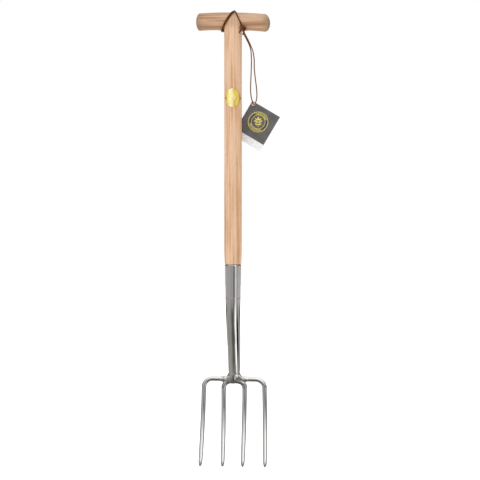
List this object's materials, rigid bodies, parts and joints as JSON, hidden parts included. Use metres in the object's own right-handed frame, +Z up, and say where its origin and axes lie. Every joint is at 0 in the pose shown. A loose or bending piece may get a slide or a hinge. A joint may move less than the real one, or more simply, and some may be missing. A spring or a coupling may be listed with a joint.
{
  "type": "digging fork",
  "caption": "Digging fork with an ash T-grip handle, a stainless socketed head with slim forged tines, an oval brass plate and a card swing tag on a leather thong.",
  "frame": {"origin": "where the axis of the T-grip crosses the axis of the shaft", "axes": "+Z up along the shaft, away from the tines; the front, where the plate is, faces -Y; +X is to the right seen from the front"},
  "size_m": [0.1929, 0.0627, 1.0532],
  "materials": {
    "grip_wood": "turned, oiled ash, darker at its ends",
    "shaft_wood": "sanded, oiled ash",
    "stainless": "polished stainless steel",
    "rivet_steel": "satin stainless steel",
    "pin_steel": "darkened steel",
    "brass": "stamped and polished",
    "leather": "round waxed leather thong",
    "dark_card": "uncoated dark grey board with a gold foil emblem",
    "white_card": "uncoated white board",
    "copper": "copper-plated eyelet"
  },
  "bodies": {
    "fork": {"t_grip": "grip_wood", "shaft": "shaft_wood", "socket_rivet": "rivet_steel", "socket_tube": "stainless", "neck_forging": "stainless", "inner_tine_bow": "stainless", "outer_tine_left": "stainless", "outer_tine_right": "stainless", "weld_left": "stainless", "weld_right": "stainless", "brass_plate": "brass", "plate_pin_left": "pin_steel", "plate_pin_right": "pin_steel", "thong_wrap": "leather", "thong_knot": "leather"},
    "lace": {"lace": "leather"},
    "tag": {"tag_back_card": "white_card", "eyelet": "copper", "eyelet_washer": "copper"},
    "front_card": {"tag_front_card": "dark_card"}
  },
  "joints": [
    {"name": "lace_swing", "type": "hinge", "parent": "fork", "child": "lace", "pos_m": [0.0252, -0.0179, -0.0206], "axis": [0, 1, 0], "range_deg": [-45, 6]},
    {"name": "tag_turn", "type": "hinge", "parent": "lace", "child": "tag", "pos_m": [0.04515, 0.02155, -0.1906], "axis": [0, 1, 0], "range_deg": [-30, 40]},
    {"name": "card_fan", "type": "hinge", "parent": "tag", "child": "front_card", "pos_m": [0.04515, 0.02155, -0.1906], "axis": [0, 1, 0], "range_deg": [-30, 30]}
  ]
}
